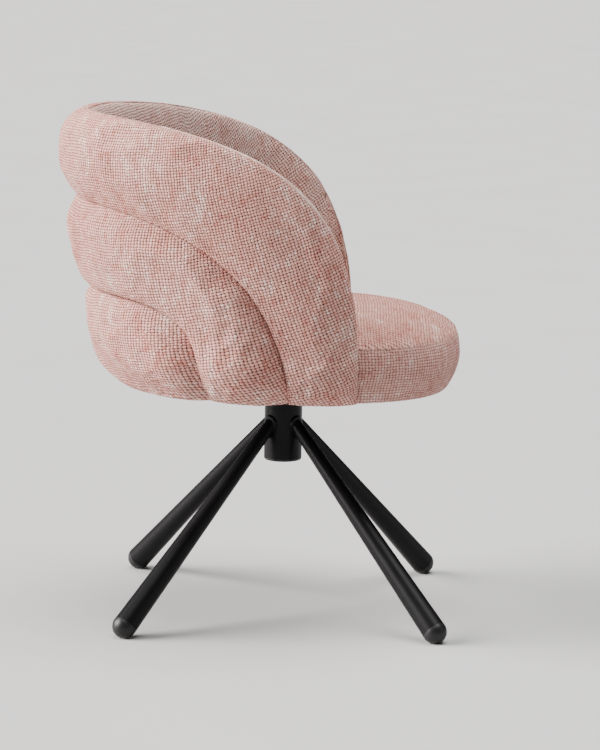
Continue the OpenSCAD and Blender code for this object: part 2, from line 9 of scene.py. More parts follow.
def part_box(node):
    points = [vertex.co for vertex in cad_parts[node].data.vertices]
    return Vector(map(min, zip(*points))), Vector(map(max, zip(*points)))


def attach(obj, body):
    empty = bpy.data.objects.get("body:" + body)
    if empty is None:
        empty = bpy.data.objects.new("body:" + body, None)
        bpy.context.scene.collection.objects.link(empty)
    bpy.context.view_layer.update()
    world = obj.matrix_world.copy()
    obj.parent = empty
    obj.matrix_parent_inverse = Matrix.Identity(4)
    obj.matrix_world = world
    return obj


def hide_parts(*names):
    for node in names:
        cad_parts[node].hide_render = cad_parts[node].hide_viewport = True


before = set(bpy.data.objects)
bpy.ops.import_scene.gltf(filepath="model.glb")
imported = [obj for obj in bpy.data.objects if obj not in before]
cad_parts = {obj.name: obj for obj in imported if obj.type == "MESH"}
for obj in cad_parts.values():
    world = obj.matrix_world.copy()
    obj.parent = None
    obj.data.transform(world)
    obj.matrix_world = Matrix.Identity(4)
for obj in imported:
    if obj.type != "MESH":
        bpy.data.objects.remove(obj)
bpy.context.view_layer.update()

# The upholstery is worked out in millimetres about the swivel axis, and placed in metres.
hub_low, hub_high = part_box("hub_tube")
AXIS = np.array([(hub_low.x + hub_high.x) / 2, (hub_low.y + hub_high.y) / 2, 0.0])
MM = 0.001
DOWN = np.array([0, 0, -1.0])
# Heights of the back's top, the seat board's underside, the seat's underside, its crown and its seam.
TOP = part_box("top_roll_cover")[1].z / MM
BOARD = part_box("seat_board")[0].z / MM
UNDER = BOARD - 1
SEAT_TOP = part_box("seat_cover_top")[1].z / MM
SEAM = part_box("seat_cover_top")[0].z / MM
# Distance between neighbouring threads of the cloth, in metres.
WARP_PITCH = 0.0052
WEFT_PITCH = 0.0045
# Every mesh that this script makes for the object.
BUILT = []


# ---------------------------------------------------------------- the wall's shape
def mix(a, b, t):
    return a + (b - a) * t


def clamp(t, low=0.0, high=1.0):
    return np.clip(t, low, high)


def smooth(a, b, t):
    t = clamp((t - a) / (b - a))
    return t * t * (3 - 2 * t)


def length(v):
    return np.sqrt((v * v).sum(-1))


def unit(v):
    return v / np.maximum(length(v), 1e-9)[..., None]


def cosd(a):
    return np.cos(np.radians(a))


def sind(a):
    return np.sin(np.radians(a))


def lean(z):
    """How far the back leans in at height z, which starts low down and grows towards the top."""
    return 0.0106 * np.maximum(0, TOP - 69 - np.maximum(z, 471)) ** 1.5


def back_share(th):
    """1 at the middle of the back and 0 at the sides; th is the angle from the middle, in degrees."""
    return np.where(np.abs(th) < 90, cosd(th) ** 2, 0)


def tuck(th, z):
    """How far the wall rounds in towards the seat's underside."""
    share = back_share(th)
    r = mix(80, 125, share)
    drop = np.minimum(r - 0.5, np.maximum(0, mix(UNDER + 72, UNDER + 106, share) - z))
    return r - np.sqrt(r * r - drop * drop)


def plan(th, a, b, z):
    """The wall's plan: a half ellipse behind, and arms that close in slowly in front."""
    s = sind(np.abs(th))
    side = np.where(np.abs(th) < 90, s, 1 - (1 - s) * 0.5)
    y = 20 + np.where(np.abs(th) < 90, a, 300) * cosd(th)
    x = np.sign(th) * b * side
    return np.stack(np.broadcast_arrays(x, y, z), -1).astype(float)


def outer(th, z, bulge=0.0):
    depth = mix(12, 17, back_share(th))
    out = (bulge - 1) * depth
    t = tuck(th, z)
    return plan(th, 340 + out - lean(z) - t, 284 + out - t, z)


def inner_free(th, z):
    t = clamp((z - 448) / (TOP - 34 - 448))
    return plan(th, mix(193, 262, t), mix(246, 242, t), z)


def inner(th, z):
    low = clamp((z - UNDER) / (430 - UNDER))
    at = np.full_like(z + th * 0.0, 430.0)
    thick = inner_free(th, at) - outer(th, at)
    thick[..., 2] = 0
    hug = outer(th, z) + thick * mix(0.55, 1, low)[..., None]
    return np.where((z > 430)[..., None], inner_free(th, z), hug)


def frame_out(th, z):
    a, b = inner(th, z), outer(th, z)
    return a + (b - a) * 0.6


def frame_normal(th, z):
    a = frame_out(th + 1, z) - frame_out(th - 1, z)
    b = frame_out(th, z + 1) - frame_out(th, z - 1)
    return -unit(np.cross(a, b))


def frame_in(th, z, t):
    return frame_out(th, z) - t * frame_normal(th, z)


def frame_clear(th, z, d):
    n = frame_normal(th, z)
    flat = n * np.array([1, 1, 0])
    return frame_out(th, z) + flat * (d / (flat * flat).sum(-1))[..., None]


# The rim and the two folds: half angle, height and the exponents of the curve along and up the wall.
RIM = (116, TOP, 3.6, 3.0)
UPPER = (95, 658, 3.6, 1.8)
LOWER = (67, 516, 6.4, 2.8)
CURVES = (RIM, UPPER, LOWER)
BOTTOM_HALF_ANGLE = 45
# Where the top roll is fullest, as a share of its width.
CREST = 0.49


def on_curve(c, s):
    """The angle and height on a curve, where s runs from -2 through 0 at the back to 2."""
    u, v = clamp(s, -1, 1), np.minimum(1, 2 - np.abs(s))
    th = c[0] * u * (1 - v ** c[3] / 2) ** (1 / c[2])
    z = BOARD + (c[1] - BOARD) * v * (1 - np.abs(u) ** c[2] / 2) ** (1 / c[3])
    return th, z


def fold_rise(t):
    """The rise of a roll's cloth out of a fold: steep at first, then level."""
    return (1 - (1 - clamp(t)) ** 2.6) ** 0.8


def soft_rise(t, a):
    """Like fold_rise, with the foot of the rise rounded out over a share a of the width."""
    return fold_rise((np.sqrt(t * t + a * a) - a) / (np.sqrt(1 + a * a) - a))


def rim_round(th, z):
    """1 low on the inner back, falling to a small share where it rounds over to the rim."""
    x = np.abs(th) / RIM[0]
    y = np.maximum(0, (z - BOARD) / (TOP - BOARD))
    share = clamp(((x ** RIM[2] + y ** RIM[3]) ** 0.3 - 0.84) / 0.16)
    return np.maximum(0.08, np.sqrt(1 - share * share))


def crease_1(s):
    """1 where the fold under the top roll is a tight overlap, 0 where it is a soft valley."""
    return smooth(0.82, 1.1, np.abs(s))


def crease_2(s):
    """The same for the fold under the middle roll."""
    return 1 - 0.5 * smooth(0.85, 1.2, np.abs(s))


def roll_band(index, s, w):
    """The angle and height a share w of the way from a roll's lower fold to its upper one."""
    if index < 2:
        a = on_curve(CURVES[index + 1], s)
    else:
        a = (BOTTOM_HALF_ANGLE * s / 2, np.full_like(s, BOARD))
    b = on_curve(CURVES[index], s)
    return mix(a[0], b[0], w), mix(a[1], b[1], w)


def bulge_of(index, s, w):
    """How full a roll is across its width: 1 is the wall's full depth."""
    def up(t, tight):
        return -0.34 + 1.34 * soft_rise(t, mix(0.11, 0.012, tight))

    if index == 0:
        return up(w / CREST, crease_1(s))
    if index == 1:
        return np.minimum(up(w / 0.5, crease_2(s)), up((1 - w) / 0.5, crease_1(s) * 0.6))
    return up((1 - w) / 0.4, crease_2(s) * 0.6)


def roll_surface(index, s, w):
    """Points of a roll's outer face with the angle and height that they come from."""
    th, z = roll_band(index, s, w)
    root = frame_clear(th, z, 2)
    full = outer(th, z, bulge_of(index, s, w)) - root
    round_over = 1.0
    if index == 0:
        past = clamp((w - CREST) / (1 - CREST))
        round_over = np.where(w < CREST, 1, np.sqrt(np.maximum(0.004, 1 - past**2)))
    out = root + unit(full) * np.maximum(2.1, length(full) * round_over)[..., None]
    # the stuffing is fullest at the sides, where the rolls aren't stretched round the back
    hump = np.sin(np.pi * clamp(w * (1.0 if index else 1.02))) ** 1.3
    out = out + unit(full) * ((0.8 + 4.2 * (1 - back_share(th))) * hump)[..., None]
    # an overlapping fold hangs a little over its neighbour
    across = unit(np.gradient(outer(th, z, 1.0), axis=0))
    if index < 2:
        crest, reach = ((CREST, 1 + 5 * crease_1(s)), (0.5, 0.5 + 4.5 * crease_2(s)))[index]
        lip = reach * np.sin(np.pi * clamp(w / crest / 0.55)) * smooth(0, 0.06, w)
        out = out - across * lip[..., None]
    return out, th, z


def inner_surface(th, z):
    root = frame_in(th, z, 8)
    full = inner(th, root[..., 2]) - root
    return root + unit(full) * np.maximum(2.1, length(full) * rim_round(th, z))[..., None]


# ---------------------------------------------------------------- mesh helpers
def place(p):
    return np.asarray(p, float) * MM + AXIS


def fbm(points, size, seed, octaves=3):
    """Smooth noise about 0, for points in millimetres, with features about size millimetres wide."""
    flat = points.reshape(-1, 3) / size
    shift = Vector((seed * 17.3, seed * 5.1, -seed * 9.7))
    out = np.empty(len(flat))
    for i, p in enumerate(flat):
        v = Vector(p) + shift
        out[i] = sum(noise.noise(v * 2 ** o) / 2 ** o for o in range(octaves))
    return out.reshape(points.shape[:-1])


def grid_normals(p):
    a, b = np.gradient(p, axis=0), np.gradient(p, axis=1)
    return unit(np.cross(a, b))


def blur(a, times, axis):
    """Evens out an array along one axis, with its ends kept."""
    a = np.moveaxis(np.array(a, float), axis, 0)
    for _ in range(times):
        a[1:-1] = 0.25 * a[:-2] + 0.5 * a[1:-1] + 0.25 * a[2:]
    return np.moveaxis(a, 0, axis)


def add_mesh(name, verts, faces, mat, uv=None, smooth_faces=True):
    """verts in millimetres about the axis; uv holds a (u, v) in metres for each face corner."""
    me = bpy.data.meshes.new(name)
    me.from_pydata([tuple(v) for v in place(verts)], [], [tuple(int(i) for i in f) for f in faces])
    if uv is not None:
        layer = me.uv_layers.new(name="weave")
        layer.data.foreach_set("uv", np.asarray(uv, np.float32).ravel())
    me.polygons.foreach_set("use_smooth", [smooth_faces] * len(me.polygons))
    me.materials.append(mat)
    me.update()
    obj = bpy.data.objects.new(name, me)
    bpy.context.scene.collection.objects.link(obj)
    BUILT.append(obj)
    return obj


def quads(rows, cols, start=0, flip=False):
    """Corner indices of a grid's quads, for a grid whose first point is number start."""
    faces = []
    for i in range(rows - 1):
        for j in range(cols - 1):
            cell = [(i, j), (i, j + 1), (i + 1, j + 1), (i + 1, j)]
            if flip:
                cell.reverse()
            faces.append([start + r * cols + c for r, c in cell])
    return faces


def padded_solid(name, front, back, uv, mat, flip=False):
    """A closed padded form between a front grid and a back grid of the same size."""
    rows, cols = front.shape[:2]
    count = rows * cols
    faces = quads(rows, cols, 0, flip) + quads(rows, cols, count, not flip)
    corners = list(faces)
    rim = (
        [(0, j) for j in range(cols)]
        + [(i, cols - 1) for i in range(1, rows)]
        + [(rows - 1, j) for j in range(cols - 2, -1, -1)]
        + [(i, 0) for i in range(rows - 2, 0, -1)]
    )
    for (a, b), (p, q) in zip(rim, rim[1:] + rim[:1]):
        k, m = a * cols + b, p * cols + q
        face = [m, k, k + count, m + count]
        if flip:
            face.reverse()
        faces.append(face)
        corners.append(face)
    verts = np.concatenate([front.reshape(-1, 3), back.reshape(-1, 3)])
    flat = np.asarray(uv).reshape(-1, 2)
    # round the edge the weave runs on by the edge's depth
    depth = length(back - front).reshape(-1) * MM
    flat = np.concatenate([flat, flat + np.stack([depth, depth], -1)])
    return add_mesh(name, verts, faces, mat, flat[np.array(corners)].reshape(-1, 2))


CLOTH_FRAMES = 20
STIFFNESS = 12
BENDING = 0.6


def inflate(obj, free, pressure, cap, shrink=0.0, share=0.8):
    """Cloth with air pressure inside: free is 1 where a point may move and 0 where it is held.
    The points keep a share of what the simulation moved them, and at most cap millimetres."""
    scene = bpy.context.scene
    me = obj.data
    rest = np.empty(len(me.vertices) * 3)
    me.vertices.foreach_get("co", rest)
    rest = rest.reshape(-1, 3)
    held = obj.vertex_groups.new(name="held")
    for i, share_free in enumerate(free):
        held.add([i], float(1 - share_free), "REPLACE")
    mod = obj.modifiers.new("Cloth", "CLOTH")
    s = mod.settings
    s.vertex_group_mass = "held"
    s.pin_stiffness = 1.0
    s.quality = 4
    s.mass = 0.3
    s.air_damping = 2.0
    s.tension_stiffness = STIFFNESS
    s.compression_stiffness = STIFFNESS
    s.shear_stiffness = STIFFNESS * 0.4
    s.bending_stiffness = BENDING
    s.use_pressure = True
    s.uniform_pressure_force = pressure
    s.shrink_min = shrink
    s.effector_weights.gravity = 0
    mod.collision_settings.use_collision = False
    mod.point_cache.frame_start, mod.point_cache.frame_end = 1, CLOTH_FRAMES
    for frame_number in range(1, CLOTH_FRAMES + 1):
        scene.frame_set(frame_number)
    got = obj.evaluated_get(bpy.context.evaluated_depsgraph_get())
    now = np.empty(len(me.vertices) * 3)
    got.data.vertices.foreach_get("co", now)
    moved = (now.reshape(-1, 3) - rest) * share
    obj.modifiers.remove(mod)
    obj.vertex_groups.remove(held)
    scene.frame_set(1)
    far = np.maximum(length(moved), 1e-9)
    moved *= (cap * MM * np.tanh(far / (cap * MM)) / far)[:, None]
    print("cloth", obj.name, "moved up to", round(float(length(moved).max() / MM), 2), "mm")
    me.vertices.foreach_set("co", (rest + moved).astype(np.float32).ravel())
    me.update()


def subdivide(obj):
    m = obj.modifiers.new("Subdivision", "SUBSURF")
    m.levels = m.render_levels = 1
    m.boundary_smooth = "PRESERVE_CORNERS"


def upholstery(obj, nodes):
    """Subdivides a padded form, parents it to the seat's body and hides the nodes of the seat that it stands
    for.
    """
    subdivide(obj)
    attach(obj, "seat")
    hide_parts(*nodes)


def arc_along(line):
    """The distance along a line of points, starting from 0."""
    return np.concatenate([[0], np.cumsum(length(np.diff(line, axis=0)))])


def tube(name, path, r, mat, weave, sides=8):
    """A tube along a path of points in millimetres, with a radius r for each. weave is how much finer than
    usual its cloth is."""
    t = unit(np.gradient(path, axis=0))
    a = np.cross(t, -DOWN)
    a = unit(np.where(length(a)[:, None] < 0.05, np.array([1.0, 0, 0]), a))
    b = np.cross(a, t)
    ang = np.arange(sides) * 2 * math.pi / sides
    ring = path[:, None] + r[:, None, None] * (
        a[:, None] * np.cos(ang)[None, :, None] + b[:, None] * np.sin(ang)[None, :, None]
    )
    faces = []
    for i in range(len(path) - 1):
        for j in range(sides):
            k = (j + 1) % sides
            faces.append([i * sides + j, i * sides + k, (i + 1) * sides + k, (i + 1) * sides + j])
    faces.append(list(range(sides - 1, -1, -1)))
    faces.append([(len(path) - 1) * sides + j for j in range(sides)])
    arc = arc_along(path) * MM
    uv = []
    for face in faces:
        for v in face:
            i, j = divmod(v, sides)
            uv.append((weave * arc[i], weave * j / sides * 2 * math.pi * r[i] * MM))
    return add_mesh(name, ring.reshape(-1, 3), faces, mat, uv)


# ---------------------------------------------------------------- materials
class Nodes:
    """A little shorthand for building node trees."""

    def __init__(self, name):
        self.mat = bpy.data.materials.new(name)
        self.mat.use_nodes = True
        self.tree = self.mat.node_tree
        self.tree.nodes.clear()
        self.out = self.add("ShaderNodeOutputMaterial")
        self.bsdf = self.add("ShaderNodeBsdfPrincipled")
        self.link(self.bsdf.outputs[0], self.out.inputs["Surface"])

    def add(self, kind, **props):
        n = self.tree.nodes.new(kind)
        for k, v in props.items():
            setattr(n, k, v)
        return n

    def link(self, a, b):
        self.tree.links.new(a, b)

    def put(self, socket, value):
        if isinstance(value, bpy.types.NodeSocket):
            self.link(value, socket)
        else:
            socket.default_value = value

    def math(self, op, a, b=None, c=None, clamped=False):
        n = self.add("ShaderNodeMath", operation=op, use_clamp=clamped)
        for i, v in enumerate((a, b, c)):
            if v is not None:
                self.put(n.inputs[i], v)
        return n.outputs[0]

    def vec(self, op, a, b=None, scale=None):
        n = self.add("ShaderNodeVectorMath", operation=op)
        self.put(n.inputs[0], a)
        if b is not None:
            self.put(n.inputs[1], b)
        if scale is not None:
            self.put(n.inputs["Scale"], scale)
        return n.outputs[0]

    def xyz(self, x, y, z=0.0):
        n = self.add("ShaderNodeCombineXYZ")
        self.put(n.inputs[0], x)
        self.put(n.inputs[1], y)
        self.put(n.inputs[2], z)
        return n.outputs[0]

    def noise(self, vector, scale, detail=2.0, rough=0.5):
        n = self.add("ShaderNodeTexNoise")
        self.put(n.inputs["Vector"], vector)
        n.inputs["Scale"].default_value = scale
        n.inputs["Detail"].default_value = detail
        n.inputs["Roughness"].default_value = rough
        return n.outputs["Fac"]

    def white(self, vector):
        n = self.add("ShaderNodeTexWhiteNoise", noise_dimensions="3D")
        self.put(n.inputs["Vector"], vector)
        return n.outputs["Value"]

    def spread(self, value, a, b, lo=0.0, hi=1.0, smoothed=True):
        n = self.add("ShaderNodeMapRange", interpolation_type="SMOOTHSTEP" if smoothed else "LINEAR")
        self.put(n.inputs["Value"], value)
        n.inputs["From Min"].default_value = a
        n.inputs["From Max"].default_value = b
        n.inputs["To Min"].default_value = lo
        n.inputs["To Max"].default_value = hi
        return n.outputs["Result"]

    def blend(self, fac, a, b, mode="MIX"):
        n = self.add("ShaderNodeMix", data_type="RGBA", blend_type=mode)
        self.put(n.inputs[0], fac)
        self.put(n.inputs[6], a)
        self.put(n.inputs[7], b)
        return n.outputs[2]

    def bump(self, height, distance, strength=1.0, normal=None):
        n = self.add("ShaderNodeBump")
        n.inputs["Strength"].default_value = strength
        n.inputs["Distance"].default_value = distance
        self.put(n.inputs["Height"], height)
        if normal is not None:
            self.link(normal, n.inputs["Normal"])
        return n.outputs[0]

    def object_coords(self):
        return self.add("ShaderNodeTexCoord").outputs["Object"]


def srgb(r, g, b):
    """A display colour out of 255 as the linear colour that a shader takes."""
    return tuple(((c / 255 + 0.055) / 1.055) ** 2.4 for c in (r, g, b)) + (1.0,)


def chenille(name, base, fleck, deep, gap_colour, open_weave=(0.33, 0.93), relief_depth=0.0026):
    """Chunky plain weave in chenille yarn: round fuzzy floats that go over and under each other, with dark
    gaps at their corners, pale flecks and deeper patches. The gaps' shade ends between the two heights of
    open_weave, and relief_depth is how far the floats stand out."""
    n = Nodes(name)
    uv = n.add("ShaderNodeUVMap", uv_map="weave").outputs[0]
    obj = n.object_coords()

    def wander(scale, detail, size):
        t = n.add("ShaderNodeTexNoise", noise_dimensions="3D")
        n.put(t.inputs["Vector"], uv)
        t.inputs["Scale"].default_value = scale
        t.inputs["Detail"].default_value = detail
        return n.vec("SCALE", n.vec("SUBTRACT", t.outputs["Color"], (0.5, 0.5, 0.5)), scale=size)

    at = n.vec("ADD", n.vec("ADD", uv, wander(140, 2, 0.0036)), wander(14, 1, 0.008))
    at = n.vec("DIVIDE", at, (WARP_PITCH, WEFT_PITCH, 1.0))
    sep = n.add("ShaderNodeSeparateXYZ")
    n.link(at, sep.inputs[0])
    x, y = sep.outputs[0], sep.outputs[1]
    ix, iy = n.math("FLOOR", x), n.math("FLOOR", y)
    fx, fy = n.math("FRACT", x), n.math("FRACT", y)

    def profile(f):
        d = n.math("MULTIPLY_ADD", f, 2.0, -1.0)
        fall = n.math("POWER", n.math("ABSOLUTE", d), 2.3)
        return n.math("SQRT", n.math("MAXIMUM", n.math("SUBTRACT", 1.0, fall), 0.0))

    def wave(along, across_cell, sign):
        phase = n.math("MULTIPLY", n.math("ADD", n.math("SUBTRACT", along, 0.5), across_cell), math.pi)
        return n.math("MULTIPLY_ADD", n.math("COSINE", phase), sign * 0.36, 0.64)

    h_warp = n.math("MULTIPLY", profile(fx), wave(y, ix, 1))
    h_weft = n.math("MULTIPLY", profile(fy), wave(x, iy, -1))
    height = n.math("MAXIMUM", h_warp, h_weft)
    on_warp = n.math("GREATER_THAN", h_warp, h_weft)
    luck = n.white(n.xyz(ix, iy, on_warp))
    # a yarn keeps one shade for a while and changes slowly along its length
    yarn_warp = n.noise(n.xyz(n.math("MULTIPLY", ix, 3.7), n.math("MULTIPLY", y, 0.11), 2.0), 1.0, 2.0)
    yarn_weft = n.noise(n.xyz(n.math("MULTIPLY", x, 0.11), n.math("MULTIPLY", iy, 3.7), 7.0), 1.0, 2.0)
    on_weft = n.math("SUBTRACT", 1.0, on_warp)
    yarn = n.math("ADD", n.math("MULTIPLY", yarn_warp, on_warp), n.math("MULTIPLY", yarn_weft, on_weft))
    patches = n.noise(n.vec("MULTIPLY", obj, (1.0, 1.0, 0.5)), 20.0, 3.0, 0.6)
    mottled = n.noise(n.vec("MULTIPLY", obj, (1.0, 1.0, 0.55)), 95.0, 3.0, 0.6)
    fuzz = n.noise(obj, 1500.0, 2.0, 0.6)
    tone = n.math("MULTIPLY_ADD", yarn, 0.60, n.math("MULTIPLY_ADD", patches, 0.90, -0.25))
    tone = n.math("MULTIPLY_ADD", mottled, 1.05, n.math("SUBTRACT", tone, 0.525))
    tone = n.math("MULTIPLY_ADD", luck, 0.22, n.math("SUBTRACT", tone, 0.11))
    tone = n.math("MULTIPLY_ADD", on_warp, -0.07, n.math("ADD", tone, 0.035))
    colour = n.blend(n.spread(tone, 0.54, 0.90), base, fleck)
    colour = n.blend(n.spread(tone, 0.47, 0.18), colour, deep)
    # little light reaches the gaps between the threads, and the pile breaks up the rest
    lit = n.spread(n.math("MULTIPLY_ADD", fuzz, 0.30, n.math("SUBTRACT", height, 0.15)), *open_weave)
    colour = n.blend(lit, gap_colour, colour)
    n.link(colour, n.bsdf.inputs["Base Color"])
    relief = n.math("MULTIPLY_ADD", fuzz, 0.30, height)
    relief = n.math("MULTIPLY_ADD", luck, 0.22, relief)
    n.link(n.bump(relief, relief_depth, 1.0), n.bsdf.inputs["Normal"])
    n.link(n.math("MULTIPLY_ADD", fuzz, 0.16, 0.78), n.bsdf.inputs["Roughness"])
    n.bsdf.inputs["Specular IOR Level"].default_value = 0.12
    n.bsdf.inputs["Sheen Weight"].default_value = 0.12
    n.bsdf.inputs["Sheen Roughness"].default_value = 0.5
    n.bsdf.inputs["Sheen Tint"].default_value = srgb(240, 190, 180)
    return n.mat


def powder_coat(name, colour=(0.0045, 0.0045, 0.005, 1), grain=2600.0, rough=0.36, depth=0.00008, worn=0.5):
    """Satin black paint baked on steel, with a fine orange peel and slightly rubbed ends."""
    n = Nodes(name)
    obj = n.object_coords()
    fine = n.noise(obj, grain, 2.0)
    wide = n.noise(obj, 38.0, 3.0)
    dust = n.spread(n.noise(obj, 420.0, 3.0, 0.65), 0.60, 0.78)
    sep = n.add("ShaderNodeSeparateXYZ")
    n.link(obj, sep.inputs[0])
    low = n.spread(sep.outputs[2], 0.10, 0.0)
    rub = n.math("MULTIPLY", n.math("MULTIPLY", low, dust), worn)
    grey = n.blend(n.math("MULTIPLY", wide, 0.35), colour, (0.008, 0.008, 0.009, 1))
    n.link(n.blend(rub, grey, (0.03, 0.029, 0.028, 1)), n.bsdf.inputs["Base Color"])
    r = n.math("MULTIPLY_ADD", wide, 0.10, rough - 0.05)
    n.link(n.math("MULTIPLY_ADD", rub, 0.25, r), n.bsdf.inputs["Roughness"])
    n.link(n.bump(fine, depth, 0.5), n.bsdf.inputs["Normal"])
    n.bsdf.inputs["Specular IOR Level"].default_value = 0.10
    return n.mat


def moulded_plastic(name):
    n = Nodes(name)
    obj = n.object_coords()
    grain = n.add("ShaderNodeTexVoronoi")
    n.put(grain.inputs["Vector"], obj)
    grain.inputs["Scale"].default_value = 1500
    wide = n.noise(obj, 60.0, 3.0)
    sep = n.add("ShaderNodeSeparateXYZ")
    n.link(obj, sep.inputs[0])
    floor_wear = n.spread(sep.outputs[2], 0.006, 0.0)
    scuffs = n.math("MULTIPLY", floor_wear, n.spread(n.noise(obj, 300.0, 3.0), 0.35, 0.6))
    base = n.blend(wide, (0.0045, 0.0045, 0.005, 1), (0.009, 0.009, 0.0095, 1))
    n.bsdf.inputs["Specular IOR Level"].default_value = 0.3
    n.link(n.blend(scuffs, base, (0.11, 0.105, 0.10, 1)), n.bsdf.inputs["Base Color"])
    n.link(n.math("MULTIPLY_ADD", wide, 0.16, 0.34), n.bsdf.inputs["Roughness"])
    n.link(n.bump(grain.outputs["Distance"], 0.00006, 0.4), n.bsdf.inputs["Normal"])
    return n.mat


def plated(name, tint=(0.62, 0.63, 0.65, 1)):
    n = Nodes(name)
    obj = n.object_coords()
    wide = n.noise(obj, 90.0, 3.0)
    n.link(n.blend(n.math("MULTIPLY", wide, 0.5), tint, (0.50, 0.50, 0.47, 1)), n.bsdf.inputs["Base Color"])
    n.bsdf.inputs["Metallic"].default_value = 1.0
    n.link(n.math("MULTIPLY_ADD", wide, 0.25, 0.25), n.bsdf.inputs["Roughness"])
    n.link(n.bump(n.noise(obj, 900.0, 2.0), 0.00004, 0.4), n.bsdf.inputs["Normal"])
    return n.mat


def nylon_plastic(name):
    n = Nodes(name)
    obj = n.object_coords()
    wide = n.noise(obj, 50.0, 2.0)
    n.link(n.blend(wide, (0.78, 0.76, 0.69, 1), (0.70, 0.68, 0.60, 1)), n.bsdf.inputs["Base Color"])
    n.link(n.math("MULTIPLY_ADD", wide, 0.2, 0.35), n.bsdf.inputs["Roughness"])
    n.link(n.bump(n.noise(obj, 700.0, 2.0), 0.00005, 0.4), n.bsdf.inputs["Normal"])
    return n.mat


def plywood(name):
    n = Nodes(name)
    obj = n.object_coords()
    grain = n.noise(n.vec("MULTIPLY", obj, (40.0, 4.0, 4.0)), 6.0, 4.0, 0.6)
    sep = n.add("ShaderNodeSeparateXYZ")
    n.link(obj, sep.inputs[0])
    ply = n.math("FRACT", n.math("MULTIPLY", sep.outputs[2], 480.0))
    layers = n.spread(ply, 0.35, 0.65)
    wood = n.blend(grain, (0.60, 0.43, 0.25, 1), (0.42, 0.27, 0.14, 1))
    n.link(n.blend(n.math("MULTIPLY", layers, 0.3), wood, (0.30, 0.18, 0.09, 1)), n.bsdf.inputs["Base Color"])
    n.link(n.math("MULTIPLY_ADD", grain, 0.2, 0.55), n.bsdf.inputs["Roughness"])
    n.link(n.bump(grain, 0.0002, 0.5), n.bsdf.inputs["Normal"])
    return n.mat


def nonwoven(name):
    """Black spun-bonded cloth with its pressed grid of dots."""
    n = Nodes(name)
    obj = n.object_coords()
    dots = n.add("ShaderNodeTexVoronoi")
    dots.inputs["Randomness"].default_value = 0.15
    n.put(dots.inputs["Vector"], obj)
    dots.inputs["Scale"].default_value = 650
    fibre = n.noise(obj, 1400.0, 3.0, 0.7)
    press = n.spread(dots.outputs["Distance"], 0.15, 0.4)
    base = n.blend(fibre, (0.012, 0.012, 0.013, 1), (0.035, 0.035, 0.037, 1))
    pressed = n.math("SUBTRACT", 1.0, press)
    n.link(n.blend(pressed, base, (0.008, 0.008, 0.009, 1)), n.bsdf.inputs["Base Color"])
    n.link(n.math("MULTIPLY_ADD", press, 0.25, 0.62), n.bsdf.inputs["Roughness"])
    n.link(n.bump(n.math("MULTIPLY_ADD", fibre, 0.5, press), 0.0002, 0.6), n.bsdf.inputs["Normal"])
    return n.mat


def sewing_thread(name):
    n = Nodes(name)
    uv = n.add("ShaderNodeUVMap", uv_map="weave").outputs[0]
    sep = n.add("ShaderNodeSeparateXYZ")
    n.link(uv, sep.inputs[0])
    twist = n.math("SINE", n.math("MULTIPLY", n.math("ADD", sep.outputs[0], sep.outputs[1]), 5200.0))
    # the thread's pink is painted darker in the grooves of its twist and lighter on the crests: painted shade
    # and painted highlight
    shade = n.blend(n.spread(twist, -1, 1), srgb(196, 150, 138), srgb(232, 200, 190))
    n.link(shade, n.bsdf.inputs["Base Color"])
    n.link(n.spread(twist, -1, 1, 0.7, 0.5), n.bsdf.inputs["Roughness"])
    n.link(n.bump(twist, 0.0001, 0.6), n.bsdf.inputs["Normal"])
    n.bsdf.inputs["Sheen Weight"].default_value = 0.2
    return n.mat


PINK = chenille(
    "chenille_outer", srgb(216, 159, 146), srgb(241, 205, 194), srgb(196, 126, 114), srgb(44, 29, 28)
)
# The inner back's copy of the cloth is lighter than the rolls', with lighter gaps: painted light on the
# inside of the back.
PINK_IN = chenille(
    "chenille_inner", srgb(237, 198, 187), srgb(248, 226, 217), srgb(219, 167, 156), srgb(82, 58, 54)
)
# The boxing's copy is greyer and a little darker than the rolls' cloth: painted shade on the seat's sides.
PINK_BOX = chenille(
    "chenille_boxing", srgb(207, 158, 147), srgb(232, 198, 188), srgb(187, 128, 118), srgb(50, 35, 33),
    (0.26, 0.88), 0.0022,
)
# The seat top's copy has lighter gaps than the boxing's: painted light on the top.
PINK_SEAT = chenille(
    "chenille_seat", srgb(213, 158, 144), srgb(238, 202, 190), srgb(192, 124, 112), srgb(70, 46, 43),
    (0.28, 0.90), 0.0022,
)
# The welt's copy is much paler than the rolls' cloth, with lighter gaps: a painted highlight along the rim's
# edge.
WELT_PAINTED_LIGHT = chenille(
    "chenille_welt", srgb(232, 196, 182), srgb(246, 222, 210), srgb(214, 164, 150), srgb(96, 68, 62),
    (0.15, 0.7), 0.0014,
)
BLACK = powder_coat("black_powder_coat")
WELD = powder_coat("painted_weld", grain=900.0, rough=0.30, depth=0.0004)
PLASTIC = moulded_plastic("black_moulded_plastic")
ZINC = plated("zinc_plated_steel")
STEEL = plated("bearing_steel", (0.70, 0.70, 0.71, 1))
NYLON = nylon_plastic("nylon")
WOOD = plywood("birch_ply")
FELT = nonwoven("black_nonwoven")
THREAD = sewing_thread("sewing_thread")

for node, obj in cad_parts.items():
    if node.startswith("leg_") or node in ("hub_tube", "swivel_plate"):
        mat = BLACK
    elif node == "weld_beads":
        mat = WELD
    elif node.startswith("foot_cap") or node == "hub_end_cap":
        mat = PLASTIC
    elif node in ("bearing_balls", "bearing_lower_race", "bearing_upper_race", "spindle"):
        mat = STEEL
    elif node in ("lower_bush", "upper_bush", "bearing_cage"):
        mat = NYLON
    elif node in ("back_frame", "seat_board"):
        mat = WOOD
    else:
        mat = ZINC
    obj.data.materials.clear()
    obj.data.materials.append(mat)


